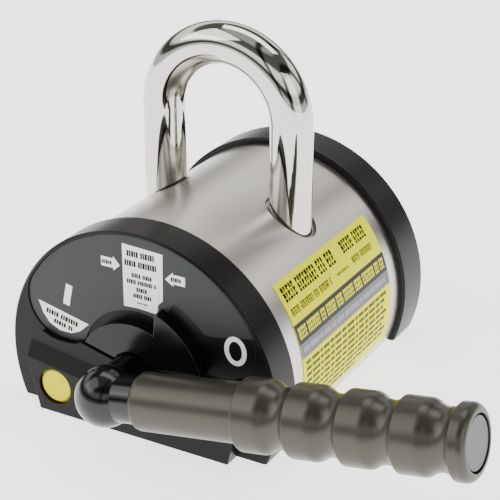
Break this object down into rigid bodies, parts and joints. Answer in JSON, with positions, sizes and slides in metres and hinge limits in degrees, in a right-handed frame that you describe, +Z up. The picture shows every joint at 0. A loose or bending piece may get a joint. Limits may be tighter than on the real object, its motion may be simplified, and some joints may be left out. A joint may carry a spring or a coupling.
{
  "type": "lifting magnet",
  "caption": "Switchable permanent lifting magnet: round body with a flat working face, fixed lifting bail, dial on the front cap and a ribbed turning handle with a sprung latch button.",
  "frame": {"origin": "centre of the flat working face under the body, midway between the two end caps", "axes": "+Z up out of the working face towards the bail, -Y towards the dial and handle face, +X to the right as seen facing the dial"},
  "size_m": [0.2203, 0.1774, 0.1545],
  "materials": {
    "plated_steel": "satin zinc-plated pole steel, ground on the working face",
    "brass": "ground brass",
    "magnet_nickel": "nickel-plated magnet block",
    "stainless": "warm satin brushed stainless sheet",
    "label_film": "yellow printed film",
    "cap_paint": "satin charcoal enamel",
    "screw_steel": "dark oiled steel",
    "dial_paint": "satin grey-black printed plate",
    "cover_gloss": "gloss charcoal enamel",
    "chrome": "mirror-polished bar",
    "bronze": "sintered bronze",
    "gloss_black": "gloss black moulding",
    "olive_satin": "satin olive-grey grip",
    "end_steel": "turned grey steel",
    "button_yellow": "moulded yellow plastic"
  },
  "bodies": {
    "root": {"pole_left": "plated_steel", "pole_right": "plated_steel", "top_spacer": "brass", "bottom_spacer": "brass", "stator_magnets": "magnet_nickel", "shroud": "stainless", "side_label": "label_film", "front_cap": "cap_paint", "rear_cap": "cap_paint", "front_cap_screws": "screw_steel", "rear_cap_screws": "screw_steel", "dial_plate": "dial_paint", "hub_cover": "cover_gloss", "bail": "chrome", "bail_pins": "screw_steel", "front_bearing": "bronze", "rear_bearing": "bronze", "button_spring": "screw_steel", "button_guide": "bronze", "lever_pin": "screw_steel"},
    "handle": {"rotor_poles": "plated_steel", "rotor_magnets": "magnet_nickel", "rotor_shaft": "screw_steel", "rotor_rear_plate": "screw_steel", "rotor_screws": "screw_steel", "detent_disc": "screw_steel", "handle_ball": "gloss_black", "stem_pin": "screw_steel", "handle_tube": "olive_satin", "hand_grip": "olive_satin", "grip_rod": "screw_steel", "grip_end_nut": "end_steel"},
    "latch_button": {"button": "button_yellow"},
    "latch_lever": {"latch_lever": "screw_steel"}
  },
  "joints": [
    {"name": "handle_turn", "type": "hinge", "parent": "root", "child": "handle", "pos_m": [0, -0.0698, 0.0266], "axis": [0, -1, 0], "range_deg": [0, 162]},
    {"name": "button_press", "type": "slide", "parent": "root", "child": "latch_button", "axis": [0, 1, 0], "range_m": [0, 0.0037], "stiffness_N_per_m": 900, "springref_m": -0.0015, "deforming": ["button_spring"]},
    {"name": "latch_rock", "type": "hinge", "parent": "root", "child": "latch_lever", "pos_m": [-0.02614, -0.063, 0.01656], "axis": [0.3585, 0, -0.9335], "range_deg": [0, 18.2]}
  ],
  "couplings": [
    {"joint": "latch_rock", "follows": "button_press", "rad_per_m": 84.908}
  ]
}
